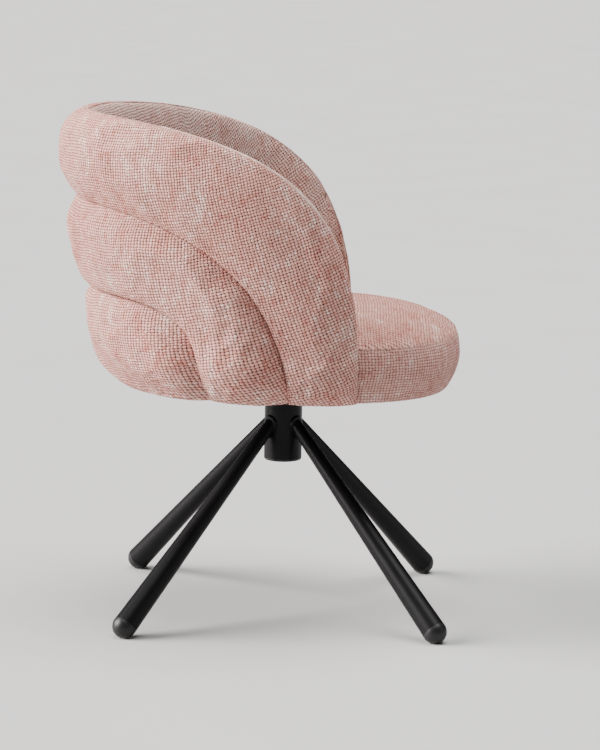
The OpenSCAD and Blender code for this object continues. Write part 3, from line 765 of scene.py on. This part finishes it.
# ---------------------------------------------------------------- the back's rolls
# The grids' columns run up the wall. They stand closer together towards the arms' ends.
COLS = 221
evenly = np.linspace(-1, 1, COLS)
S = np.sign(evenly) * 2 * (1 - (1 - np.abs(evenly)) ** 1.5)


def plan_arc():
    """Arc length along the wall's plan, in millimetres, for angles from -130 to 130."""
    th = np.linspace(-130, 130, 521)
    p = plan(th, np.full_like(th, 330.0), np.full_like(th, 276.0), th * 0)
    arc = arc_along(p)
    return th, arc - arc[len(arc) // 2]


ARC_TH, ARC = plan_arc()


def woven(p, th, z, most=24.0, start=170):
    """Weave coordinates in metres for a grid: along each column they advance by its true length, in the
    direction that the angle and height say. Then the cloth is turned as turned() says."""
    u0, v0 = np.interp(th, ARC_TH, ARC), z
    step = length(np.diff(p, axis=0))
    du, dv = np.diff(u0, axis=0), np.diff(v0, axis=0)
    size = np.hypot(du, dv)
    heading = np.stack([du, dv]) / np.maximum(size, 1e-6)
    # round the frame's edge the angle and height stand still, and the cloth keeps its heading
    still = size < 0.05 * step
    for order in (range(1, len(step)), range(len(step) - 2, -1, -1)):
        for i in order:
            before = i - 1 if order.step > 0 else i + 1
            keep = still[i] & ~still[before]
            heading[:, i, keep] = heading[:, before, keep]
            still[i] &= ~keep
    du, dv = heading * step
    u = np.concatenate([u0[:1], u0[:1] + np.cumsum(du, axis=0)])
    v = np.concatenate([v0[:1], v0[:1] + np.cumsum(dv, axis=0)])
    return turned(u, v, most, start)


def turned(u, v, most, start):
    """The cloth is pulled round towards the front, so its threads climb more and more along the arms: by
    nothing up to start millimetres from the back's middle, and by most degrees at the ends."""
    q = np.abs(u)
    steps = np.linspace(0, 1100, 1101)
    angle = np.radians(most) * smooth(start, 620, steps)
    run = np.concatenate([[0], np.cumsum(np.cos(angle))[:-1]])
    climb = np.concatenate([[0], np.cumsum(np.sin(angle))[:-1]])
    a = np.interp(q, steps, angle)
    h = v - 590
    along = np.interp(q, steps, run) + h * np.sin(a)
    return np.stack([np.sign(u) * along, h * np.cos(a) - np.interp(q, steps, climb)], -1) * MM


def along_columns(p, extra, cuts, rows, ends=0.35):
    """Cuts each column of a dense grid between two arc lengths and spaces its rows anew, closer at the ends.
    The values in extra are carried along with the points."""
    k = np.linspace(0, 1, rows)
    f = mix(k, (1 - np.cos(np.pi * k)) / 2, ends)
    out = np.empty((rows, p.shape[1], 3 + len(extra)))
    for j in range(p.shape[1]):
        arc = arc_along(p[:, j])
        at = mix(cuts[0][j], cuts[1][j], f)
        for c in range(3):
            out[:, j, c] = np.interp(at, arc, p[:, j, c])
        for c, e in enumerate(extra):
            out[:, j, 3 + c] = np.interp(at, arc, e[:, j])
    return out


def grid_normals_out(p):
    """A grid's normals, on the side that mostly faces away from the middle of the chair."""
    n = grid_normals(p)
    centre = np.array([0, 0, 500.0])
    return n if ((p - centre) * n).sum() >= 0 else -n


def lumps(p, seed, size=55.0, height=1.1):
    """Slight unevenness of the stuffing under the cloth."""
    return p + grid_normals_out(p) * (fbm(p, size, seed) * height)[..., None]


def puckers(p, s, near, seed, height):
    """Small gathers that run away from a fold: near is 1 at the fold and fades over the roll."""
    wave = np.array([noise.noise(Vector((a * 11 + seed, 0.0, seed * 3.1))) for a in s[0]])
    fine = np.array([noise.noise(Vector((a * 27 + seed, 4.0, seed))) for a in s[0]])
    return p + grid_normals_out(p) * ((wave + 0.5 * fine) * near * height)[..., None]


def column_lengths(p):
    return length(np.diff(p, axis=0)).sum(axis=0)


def freedom(w, s, first, last, ends):
    """1 where the front grid's cloth may move, 0 at its first and last rows, its ends and the back grid."""
    front = smooth(0, first, w) * smooth(0, last, 1 - w) * smooth(0, ends, 2 - np.abs(s))
    return np.concatenate([front.ravel(), np.zeros(w.size)])


w_dense = np.concatenate([
    np.linspace(0, 0.06, 14)[:-1],
    np.linspace(0.06, 0.9, 60)[:-1],
    1 - np.linspace(0.1, 0, 40),
])
Wd, Sd = np.meshgrid(w_dense, S, indexing="ij")


def build_roll(index, name, nodes, rows):
    p, th, z = roll_surface(index, Sd, Wd)
    total = column_lengths(p)
    got = along_columns(p, [th, z, Wd], (total * 0, total), rows, 0.55)
    p, th, z, w = got[..., :3], got[..., 3], got[..., 4], got[..., 5]
    s = np.broadcast_to(S, w.shape)
    p = lumps(p, index + 1)
    p = puckers(p, s, np.exp(-w * 7) * smooth(0, 0.05, w), 3 + index, 1.6)
    p = puckers(p, s, np.exp(-(1 - w) * 7) * smooth(0, 0.05, 1 - w), 13 + index, 1.6)
    back = frame_clear(th, z, 1.0)
    uv = woven(p, th, z)
    obj = padded_solid(name, p, back, uv, PINK)
    inflate(obj, freedom(w, s, 0.14, 0.14, 0.06), 3.0, 5.0, shrink=-0.012)
    upholstery(obj, nodes)
    return p


# The top roll goes on over the rim to the seam where the inner cloth begins.
p_out, th_out, z_out = roll_surface(0, Sd, Wd)
r_dense = np.concatenate([np.linspace(0, 0.25, 40)[:-1], np.linspace(0.25, 1, 60)])
Rd, Sr = np.meshgrid(r_dense, S, indexing="ij")
rim_th, rim_z = on_curve(RIM, Sr)
low_th, low_z = 108 * Sr / 2, np.full_like(Sr, BOARD + 24)
th_in, z_in = mix(rim_th, low_th, Rd), mix(rim_z, low_z, Rd)
p_in = inner_surface(th_in, z_in)
wall = np.concatenate([p_out, p_in])
wall_th = np.concatenate([th_out, th_in])
wall_z = np.concatenate([z_out, z_in])
n_wall = 420
arc_rim = column_lengths(p_out)
arc_all = column_lengths(wall)
even = along_columns(wall, [wall_th, wall_z], (arc_all * 0, arc_all), n_wall, 0.0)
step = arc_all / (n_wall - 1)
rim_row = (arc_rim + 6) / step
near_rim = np.exp(-(((np.arange(n_wall)[:, None] - rim_row[None]) * step[None]) / 26) ** 2)
softened = blur(even[..., :3], 60, 0)
even[..., :3] = mix(even[..., :3], softened, near_rim[..., None])
# the smoothing lowered the rim, which goes back to its true height
sunk = TOP - even[..., 2].max()
even[..., 2] += near_rim * sunk * smooth(600, TOP, even[..., 2])
even[..., :3] = lumps(even[..., :3], 1)
arc_even = column_lengths(even[..., :3])
arc_mid = arc_rim + 7
a_s = np.abs(S)
# the seam runs inside the rim at the back, and over it to the outside of the arms
seam_at = arc_mid + np.interp(a_s, [0, 0.45, 0.8, 1.1, 1.25, 1.5, 2], [5, 4, -5, -13, -4, 6, 8])
sewn = smooth(0.5, 0.8, a_s)

rows_top = 46
got = along_columns(even[..., :3], [even[..., 3], even[..., 4]], (arc_mid * 0, seam_at), rows_top, 0.5)
p, th, z = got[..., :3], got[..., 3], got[..., 4]
w = np.linspace(0, 1, rows_top)[:, None] * np.ones((1, COLS))
s_grid = np.broadcast_to(S, w.shape)
groove = np.exp(-((length(p - p[-1:]) / 3.5) ** 2)) * 1.8 * sewn
p = puckers(p, s_grid, np.exp(-w * 8) * smooth(0, 0.05, w), 3, 1.8)
p = p - grid_normals_out(p) * groove[..., None]
seam_line = p[-1].copy()
back = np.where((w > 0.86)[..., None], frame_in(th, z, 7), frame_out(th, z)) * 0.85 + p * 0.15
drop_in = 9 * smooth(0.55, 0.9, w)
inside = unit(np.mean(p, axis=0)[None] - p)
back = back + mix(DOWN, inside, smooth(0.9, 1.3, np.abs(s_grid))[..., None]) * drop_in[..., None]
top_roll = padded_solid("top_roll", p, back, woven(p, th, z), PINK)
inflate(top_roll, freedom(w, s_grid, 0.14, 0.2, 0.06), 3.0, 5.0, shrink=-0.012)
upholstery(top_roll, ["top_roll_cover", "top_roll_foam", "edge_strip"])
top_end = [p[:, 0].copy(), p[:, -1].copy()]

p_mid = build_roll(1, "middle_roll", ["middle_roll_cover", "middle_roll_foam"], 34)
p_bot = build_roll(2, "bottom_roll", ["bottom_roll_cover", "bottom_roll_foam"], 34)

# The inner back: one smooth padded panel from the seam at the rim down behind the cushion.
rows_in = 50
# how far the panel reaches under the top roll's cloth
LAP = 8
got = along_columns(even[..., :3], [even[..., 3], even[..., 4]], (seam_at - LAP, arc_even), rows_in, 0.7)
p, th, z = got[..., :3], got[..., 3], got[..., 4]
w = np.linspace(0, 1, rows_in)[:, None] * np.ones((1, COLS))
s_grid = np.broadcast_to(S, w.shape)
n_in = -grid_normals_out(p)
# its edge is tucked under the end of the top roll's cloth
past = np.concatenate([np.zeros((1, COLS)), np.cumsum(length(np.diff(p, axis=0)), axis=0)]) - LAP
p = p - n_in * (1.9 * (1 - smooth(-2, 6, past)) + 0.5 * sewn * np.exp(-((past / 4) ** 2)))[..., None]
back = frame_in(th, z, 7) + DOWN * (8 * (1 - smooth(0, 0.15, w)))[..., None]
# the panel wears the lighter copy of the cloth, painted light
inner_back = padded_solid("inner_back", p, back, woven(p, th, z, 38.0, 0), PINK_IN)
inflate(inner_back, freedom(w, s_grid, 0.12, 0.1, 0.1), 2.0, 4.0)
upholstery(inner_back, ["inner_cover", "inner_pad"])

# A fine welt where the two cloths are sewn together along the rim.
for side in (-1, 1):
    on = (S * side > 0.55) & (S * side < 1.9)
    path = blur(seam_line[on], 3, 0)
    thick = np.interp(a_s[on], [0.55, 0.75, 1.0, 1.15, 1.3, 1.5, 1.9], [0.5, 1.7, 2.6, 2.3, 1.5, 1.0, 0.5])
    # the welt's pale cloth is a painted highlight along the rim
    welt = tube("rim_seam_welt_" + ("left" if side > 0 else "right"), path, thick, WELT_PAINTED_LIGHT, 2)
    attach(welt, "seat")

# Cloth turned under the rolls and stapled to the board, seen from below.
edge = np.concatenate([
    top_end[0][::-1], p_mid[::-1, 0], p_bot[::-1, 0],
    p_bot[0],
    p_bot[:, -1], p_mid[:, -1], top_end[1],
])
edge = edge[np.concatenate([[True], length(np.diff(edge, axis=0)) > 0.4])]
radial = unit(edge * np.array([1, 1, 0]))
# how far each row is pulled in from the edge, and its height over the board's underside
PULLS = ((0, 0), (3, -0.4), (10, -0.4), (22, -0.35), (34, -0.3), (46, -0.2))
strip = np.array([edge - radial * pull for pull, _ in PULLS])
for row, (_, height) in zip(strip[1:], PULLS[1:]):
    row[:, 2] = np.clip(edge[:, 2], BOARD - 0.1, BOARD) + height
pulled = np.array([pull for pull, _ in PULLS])[:, None]
uv_e = np.stack(np.broadcast_arrays(arc_along(edge)[None] * MM, pulled * MM), -1)
lifted = strip - 1.2 * DOWN
lifted[:2] = strip[:2] - 0.6 * DOWN
turned_under = padded_solid("turned_under_cloth", strip, lifted, uv_e, PINK)
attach(turned_under, "seat")


# ---------------------------------------------------------------- the seat cushion
def covered(az):
    """0 where the cushion shows in front of the arms, 1 where it is between them."""
    front = np.abs((az + 90 + 540) % 360 - 180)
    return clamp((front - 48) / 30)


# The seat's outline: half its width and length, how far it stands forward, and how square it is.
HALF_W, HALF_L, FWD, SQUARE = 242, 245, 32, 2.35
SEAT_MID = np.array([0, -FWD, 0.0])


def seat_point(az, inset, z):
    c, s = cosd(az), sind(az)
    r = 1 / ((np.abs(c) / HALF_W) ** SQUARE + (np.abs(s) / HALF_L) ** SQUARE) ** (1 / SQUARE)
    return np.stack(np.broadcast_arrays(c * (r - inset), s * (r - inset) - FWD, z), -1).astype(float)


# The boxing's profile from the underside up to the seam: height and inset in front, then between the arms.
BOXING = np.array([
    (UNDER + 0.3, 42, UNDER + 0.3, 42),
    (UNDER + 0.2, 26, UNDER + 0.2, 28),
    (BOARD + 0.8, 18, BOARD + 0.8, 18.5),
    (BOARD + 7, 14.5, BOARD + 7, 17.5),
    (382, 11, 383, 17),
    (391, 6.8, 392, 15),
    (402, 2.8, 402, 10),
    (414, 0.5, 414, 7),
    (427, -0.2, 427, 5.5),
    (440, 1.4, 440, 5.5),
    (446, 2.8, 446, 5.8),
    (SEAM + 2, 4.6, SEAM + 2, 6.4),
], float)
az_cols = 201
az = np.linspace(0, 360, az_cols)
hid = covered(az)
rows_box = 22
k_old = np.linspace(0, 1, len(BOXING))
k_new = np.linspace(0, 1, rows_box)


def spline(x, y, xs):
    """Smooth curve through points (Catmull-Rom), for a profile."""
    i = np.clip(np.searchsorted(x, xs, side="right") - 1, 0, len(x) - 2)
    h = x[i + 1] - x[i]
    t = (xs - x[i]) / h
    m = np.gradient(y, x)
    return (
        (2 * t**3 - 3 * t**2 + 1) * y[i]
        + (t**3 - 2 * t**2 + t) * h * m[i]
        + (3 * t**2 - 2 * t**3) * y[i + 1]
        + (t**3 - t**2) * h * m[i + 1]
    )


profile = np.stack([spline(k_old, BOXING[:, c], k_new) for c in range(4)], -1)
box_rows = np.array([seat_point(az, mix(r[1], r[3], hid), mix(r[0], r[2], hid)) for r in profile])
shares = np.concatenate([1 - np.linspace(0.004, 0.16, 12), np.linspace(0.82, 0.04, 26)])
crown_h = SEAT_TOP - SEAM + 5.5
top_rows = []
for sh in shares:
    row = mix(SEAT_MID, box_rows[-1], sh)
    row[:, 2] = SEAM + 2 + crown_h * (1 - sh**3.3) ** 0.52
    top_rows.append(row)
cushion = np.concatenate([box_rows, np.array(top_rows)])
rows_c = len(cushion)
seam_row = rows_box - 1
out_c = cushion - SEAT_MID + 420 * DOWN
n_c = grid_normals(cushion)
n_c = np.where(((n_c * out_c).sum(-1) < 0)[..., None], -n_c, n_c)
bumps = fbm(cushion, 70.0, 21, 2)
bumps[:, -1] = bumps[:, 0]
bumps *= smooth(2, 6, np.arange(rows_c))[:, None]
cushion = cushion + n_c * (bumps * 1.4)[..., None]
# the seam pulls in between its stitches
gather = np.array([noise.noise(Vector((cosd(a) * 7.0, sind(a) * 7.0, 3.0))) for a in az])
dist = np.abs(np.arange(rows_c) - seam_row)
cushion = cushion - n_c * (gather[None] * 1.2 * np.exp(-dist / 4.0)[:, None])[..., None]
cushion[:, -1] = cushion[:, 0]

# the weave runs round the boxing and straight across the top
arc_az = arc_along(box_rows[rows_box // 2])
arc_box = arc_along(cushion[:rows_box, az_cols * 3 // 4])
uv_c = np.zeros((rows_c, az_cols, 2))
uv_c[:rows_box, :, 0] = arc_az[None] * MM
uv_c[:rows_box, :, 1] = arc_box[:, None] * MM
uv_c[rows_box:] = cushion[rows_box:, :, :2] * MM

ring = az_cols - 1
verts = cushion[:, :-1].reshape(-1, 3)
top_c, low_c = len(verts), len(verts) + 1
verts = np.concatenate([verts, [[0, -FWD, cushion[-1, :, 2].mean() + 0.2]], [[0, -FWD, BOARD + 10]]])
faces, uvs = [], []
for i in range(rows_c - 1):
    for j in range(ring):
        cell = [(i, j), (i, j + 1), (i + 1, j + 1), (i + 1, j)]
        faces.append([r * ring + c % ring for r, c in cell])
        for r, c in cell:
            if i == seam_row and r == seam_row:
                uvs.append(cushion[r, c % ring, :2] * MM)
            else:
                uvs.append(uv_c[r, c])
for j in range(ring):
    last = (rows_c - 1) * ring
    faces.append([last + j, last + (j + 1) % ring, top_c])
    uvs += [uv_c[-1, j], uv_c[-1, j + 1], np.array([0, -FWD]) * MM]
    faces.append([(j + 1) % ring, j, low_c])
    uvs += [uv_c[0, j + 1], uv_c[0, j], np.array([0, 0.0])]
seat_cushion = add_mesh("seat_cushion", verts, faces, PINK_BOX, np.array(uvs))
# the top wears the seat's lighter copy and the sides the boxing's darker one: painted light and painted shade
seat_cushion.data.materials.append(PINK_SEAT)
on_top = [len(f) == 4 and min(f) >= seam_row * ring or top_c in f for f in faces]
seat_cushion.data.polygons.foreach_set("material_index", [int(t) for t in on_top])
row_free = smooth(2, 8, np.arange(rows_c)) * (1 - np.exp(-((dist / 1.6) ** 2)))
inflate(seat_cushion, np.concatenate([np.repeat(row_free, ring), [1, 0]]), 4.0, 7.0, shrink=-0.008, share=0.9)
co = np.empty(len(seat_cushion.data.vertices) * 3)
seat_cushion.data.vertices.foreach_get("co", co)
co = ((co.reshape(-1, 3) - AXIS) / MM)[: rows_c * ring].reshape(rows_c, ring, 3)
upholstery(seat_cushion, ["seat_cover_top", "seat_cover_boxing", "seat_foam"])


def stitches(name, line, normals, pitch=6.0, gap=1.4, radius=0.34):
    """Short stitches along a closed line, each dipping into the cloth at its ends."""
    closed = np.vstack([line, line[:1]])
    closed_n = np.vstack([normals, normals[:1]])
    arc = arc_along(closed)
    count = int(arc[-1] / pitch)
    lift = np.array([-0.35, 0.28, 0.38, 0.28, -0.35])
    steps, sides = len(lift), 6
    # the thread's own coordinates for a step along it and a side round it, in metres
    step_u, side_v = 0.0012, 0.0004
    verts, faces, uv = [], [], []
    for k in range(count):
        a = arc[-1] * k / count + gap / 2
        b = arc[-1] * (k + 1) / count - gap / 2
        at = np.linspace(a, b, steps)
        pts = np.stack([np.interp(at, arc, closed[:, c]) for c in range(3)], -1)
        nrm = unit(np.stack([np.interp(at, arc, closed_n[:, c]) for c in range(3)], -1))
        pts = pts + nrm * lift[:, None]
        side = unit(np.cross(unit(pts[-1] - pts[0]), nrm))
        base = len(verts)
        for p, m, q in zip(pts, nrm, side):
            for h in range(sides):
                g = h * 2 * math.pi / sides
                verts.append(p + radius * (math.cos(g) * q + math.sin(g) * m))
        for i in range(steps - 1):
            for h in range(sides):
                cell = [(i, h), (i, h + 1), (i + 1, h + 1), (i + 1, h)]
                faces.append([base + r * sides + c % sides for r, c in cell])
                uv += [(r * step_u, c * side_v) for r, c in cell]
        faces.append([base + h for h in range(sides - 1, -1, -1)])
        faces.append([base + (steps - 1) * sides + h for h in range(sides)])
        uv += [(0, 0)] * 2 * sides
    return add_mesh(name, np.array(verts), faces, THREAD, np.array(uv))


for name, row, share in (
    ("seam_stitches_upper", seam_row + 1, 0.7),
    ("seam_stitches_lower", seam_row - 1, 0.75),
):
    line = mix(co[seam_row], co[row], share)
    nrm = unit(line - SEAT_MID + 405 * DOWN)
    st = stitches(name, line, nrm)
    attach(st, "seat")


# ---------------------------------------------------------------- the dust cover
def board_edge():
    """The seat board's outline: between the arms it follows the frame, in front the seat."""
    th = np.linspace(-112, 112, 90)
    p = frame_in(th, np.full_like(th, BOARD), 6)
    back_part = p[:, :2] - unit(p[:, :2])
    front = seat_point(np.linspace(332, 208, 40), 22, 0.0)[:, :2]
    return np.concatenate([back_part, front])


# Rows of the cloth's outline, from round the hub to its stapled edge, 12 mm inside the board's.
cloth_edge = board_edge() * (1 - 12 / HALF_L)
reach = np.linspace(0.10, 1, 26)[:, None]
dust = np.zeros((len(reach), len(cloth_edge), 3))
dust[..., :2] = cloth_edge * reach[..., None]
# it is held by the swivel plate and the staples, and sags between them in shallow waves
plate = np.maximum(np.abs(dust[..., 0]), np.abs(dust[..., 1]))
sagging = smooth(92, 125, plate) * smooth(0, 22, length(cloth_edge) * (1 - reach))
angle = np.linspace(0, 2 * np.pi, len(cloth_edge))
sag = sagging * (1.6 + 0.5 * np.sin(angle * 14))
crimp = 0.12 * np.sin(angle * 28) * smooth(0.9, 1.0, reach)
dust[..., 2] = UNDER - 0.25 - sag + crimp + fbm(dust, 40.0, 31, 2) * 0.1
loop = np.concatenate([dust, dust[:, :1]], axis=1)
dust_cloth = padded_solid("dust_cover_cloth", loop, loop - 0.5 * DOWN, loop[..., :2] * MM, FELT, flip=True)
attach(dust_cloth, "seat")
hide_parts("dust_cover")

# Normals of everything built here face outwards.
for obj in BUILT:
    bm = bmesh.new()
    bm.from_mesh(obj.data)
    bmesh.ops.recalc_face_normals(bm, faces=bm.faces)
    bm.to_mesh(obj.data)
    bm.free()


# ---------------------------------------------------------------- floor, light, camera
def floor_material():
    n = Nodes("pale_floor")
    obj = n.object_coords()
    soft = n.noise(obj, 3.0, 2.0)
    n.link(n.blend(soft, (0.40, 0.40, 0.40, 1), (0.42, 0.42, 0.42, 1)), n.bsdf.inputs["Base Color"])
    n.link(n.spread(soft, 0, 1, 0.55, 0.65), n.bsdf.inputs["Roughness"])
    return n.mat


floor_mesh = bpy.data.meshes.new("floor")
floor_mesh.from_pydata([(-30, -30, 0), (30, -30, 0), (30, 30, 0), (-30, 30, 0)], [], [(0, 1, 2, 3)])
floor_mesh.materials.append(floor_material())
floor = bpy.data.objects.new("floor", floor_mesh)
floor.location.z = -0.0006
bpy.context.scene.collection.objects.link(floor)

world = bpy.data.worlds.new("studio")
world.use_nodes = True
world.node_tree.nodes["Background"].inputs[0].default_value = (1.0, 1.0, 1.0, 1)
world.node_tree.nodes["Background"].inputs[1].default_value = 0.09
bpy.context.scene.world = world


def sun_light(name, source, spread, strength, colour):
    """A very soft, even light from the direction of source; spread is how many degrees wide it looks."""
    data = bpy.data.lights.new(name, "SUN")
    data.angle = math.radians(spread)
    data.energy = strength
    data.color = colour
    obj = bpy.data.objects.new(name, data)
    obj.rotation_mode = "QUATERNION"
    obj.rotation_quaternion = Vector(source).to_track_quat("Z", "Y")
    bpy.context.scene.collection.objects.link(obj)


sun_light("key", (-0.04, 0.95, 0.50), 42, 13.5, (1.0, 0.955, 0.935))
sun_light("top", (0.04, -0.12, 1.0), 45, 5.2, (1.0, 0.99, 0.975))
sun_light("front", (-0.30, -0.90, 0.35), 40, 0.3, (0.95, 0.97, 1.0))

# The camera stands square to the chair's right-hand side, a little above it and far off.
distance, eye_height, focal = 4.976, 1.207, 3170.0
yaw, pitch, roll = (math.radians(a) for a in (0.290, 9.512, 1.081))
right, ahead, up = Vector((0, -1, 0)), Vector((1, 0, 0)), Vector((0, 0, 1))
right, ahead = right * math.cos(yaw) - ahead * math.sin(yaw), right * math.sin(yaw) + ahead * math.cos(yaw)
ahead, up = ahead * math.cos(pitch) - up * math.sin(pitch), ahead * math.sin(pitch) + up * math.cos(pitch)
right, up = right * math.cos(roll) + up * math.sin(roll), up * math.cos(roll) - right * math.sin(roll)
cam_data = bpy.data.cameras.new("camera")
cam_data.sensor_width = 36
cam_data.lens = focal / 750 * 36
cam_data.clip_start, cam_data.clip_end = 0.1, 100
camera = bpy.data.objects.new("camera", cam_data)
camera.matrix_world = Matrix((
    (right.x, up.x, -ahead.x, AXIS[0] - distance),
    (right.y, up.y, -ahead.y, AXIS[1]),
    (right.z, up.z, -ahead.z, eye_height),
    (0, 0, 0, 1),
))
bpy.context.scene.collection.objects.link(camera)
bpy.context.scene.camera = camera
